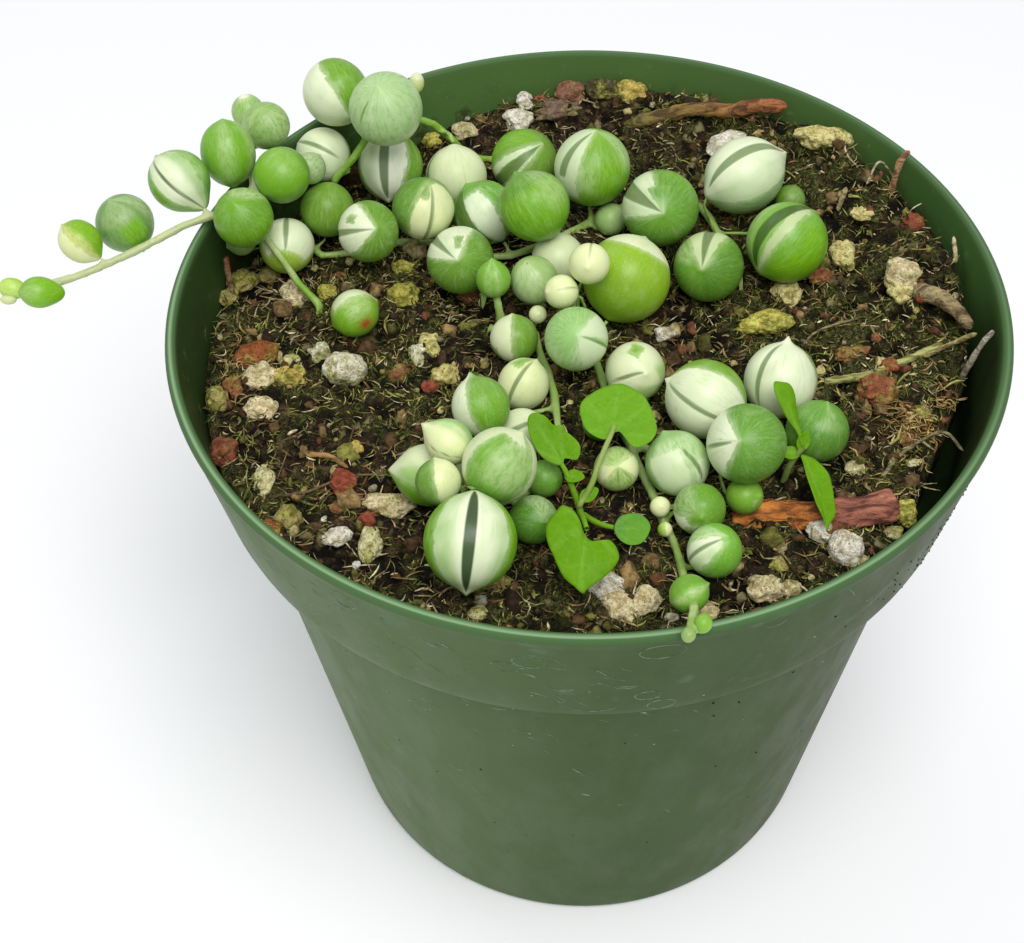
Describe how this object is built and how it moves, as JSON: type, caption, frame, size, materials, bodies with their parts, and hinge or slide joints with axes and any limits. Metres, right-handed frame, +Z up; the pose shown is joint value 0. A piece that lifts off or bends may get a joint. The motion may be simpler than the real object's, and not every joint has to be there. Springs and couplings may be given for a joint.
{
  "type": "potted string of pearls",
  "caption": "Variegated trailing succulent with bead-like cream and green leaves on thin stems, rooted in moist soil in a round tapered green nursery pot with a deep rim.",
  "frame": {"origin": "centre of the pot's underside, on the plane it stands on", "axes": "+Z up along the pot's axis; +X and +Y level; the long trailing stem leaves over the rim towards -X, and the short one lies over the rim towards -Y"},
  "size_m": [0.1331, 0.1109, 0.1133],
  "materials": {
    "pot_plastic": "satin moulded green, scuffed, with dried water marks",
    "soil": "moist peat with moss, fibres and grit, rough",
    "stem": "smooth pale green to lime, slightly waxy",
    "pearl": "waxy skin, green and cream sectors, narrow translucent window",
    "weed_leaf": "thin soft leaf, satin",
    "bark": "rough weathered red-brown",
    "dry_stalk": "dry straw, matt",
    "stone": "porous, matt"
  },
  "bodies": {
    "root": {"back_stem": "stem", "bark": "bark", "dry_stalk": "dry_stalk", "front_stem": "stem", "heart_leaf_seedling": "weed_leaf", "lance_leaf_seedling": "weed_leaf", "lava_stone": "stone", "left_stem": "stem", "pearl_back_01": "pearl", "pearl_back_02": "pearl", "pearl_back_03": "pearl", "pearl_back_04": "pearl", "pearl_back_05": "pearl", "pearl_back_06": "pearl", "pearl_front_01": "pearl", "pearl_front_04": "pearl", "pearl_front_05": "pearl", "pearl_front_08": "pearl", "pearl_front_09": "pearl", "pearl_front_10": "pearl", "pearl_front_11": "pearl", "pearl_front_12": "pearl", "pearl_front_14": "pearl", "pearl_front_15": "pearl", "pearl_left_02": "pearl", "pearl_left_04": "pearl", "pearl_left_05": "pearl", "pearl_left_06": "pearl", "pearl_left_07": "pearl", "pearl_left_09": "pearl", "pearl_left_10": "pearl", "pearl_left_11": "pearl", "pearl_left_12": "pearl", "pearl_left_14": "pearl", "pearl_trail_03": "pearl", "pearl_trail_04": "pearl", "pearl_trail_05": "pearl", "pearl_trail_06": "pearl", "pearl_trail_08": "pearl", "pearl_trail_09": "pearl", "pearl_trail_11": "pearl", "pearl_trail_13": "pearl", "pearl_trail_14": "pearl", "pearl_trail_15": "pearl", "pearl_trail_16": "pearl", "pearl_trail_17": "pearl", "pearl_trail_18": "pearl", "pearl_trail_19": "pearl", "pearl_trail_20": "pearl", "pearl_trail_21": "pearl", "pearl_trail_23": "pearl", "pearl_trail_24": "pearl", "pearl_trail_25": "pearl", "pearl_trail_26": "pearl", "pearl_trail_28": "pearl", "perlite_stone": "stone", "pot": "pot_plastic", "pumice_stone": "stone", "soil": "soil", "trailing_stem": "stem"}
  },
  "joints": []
}
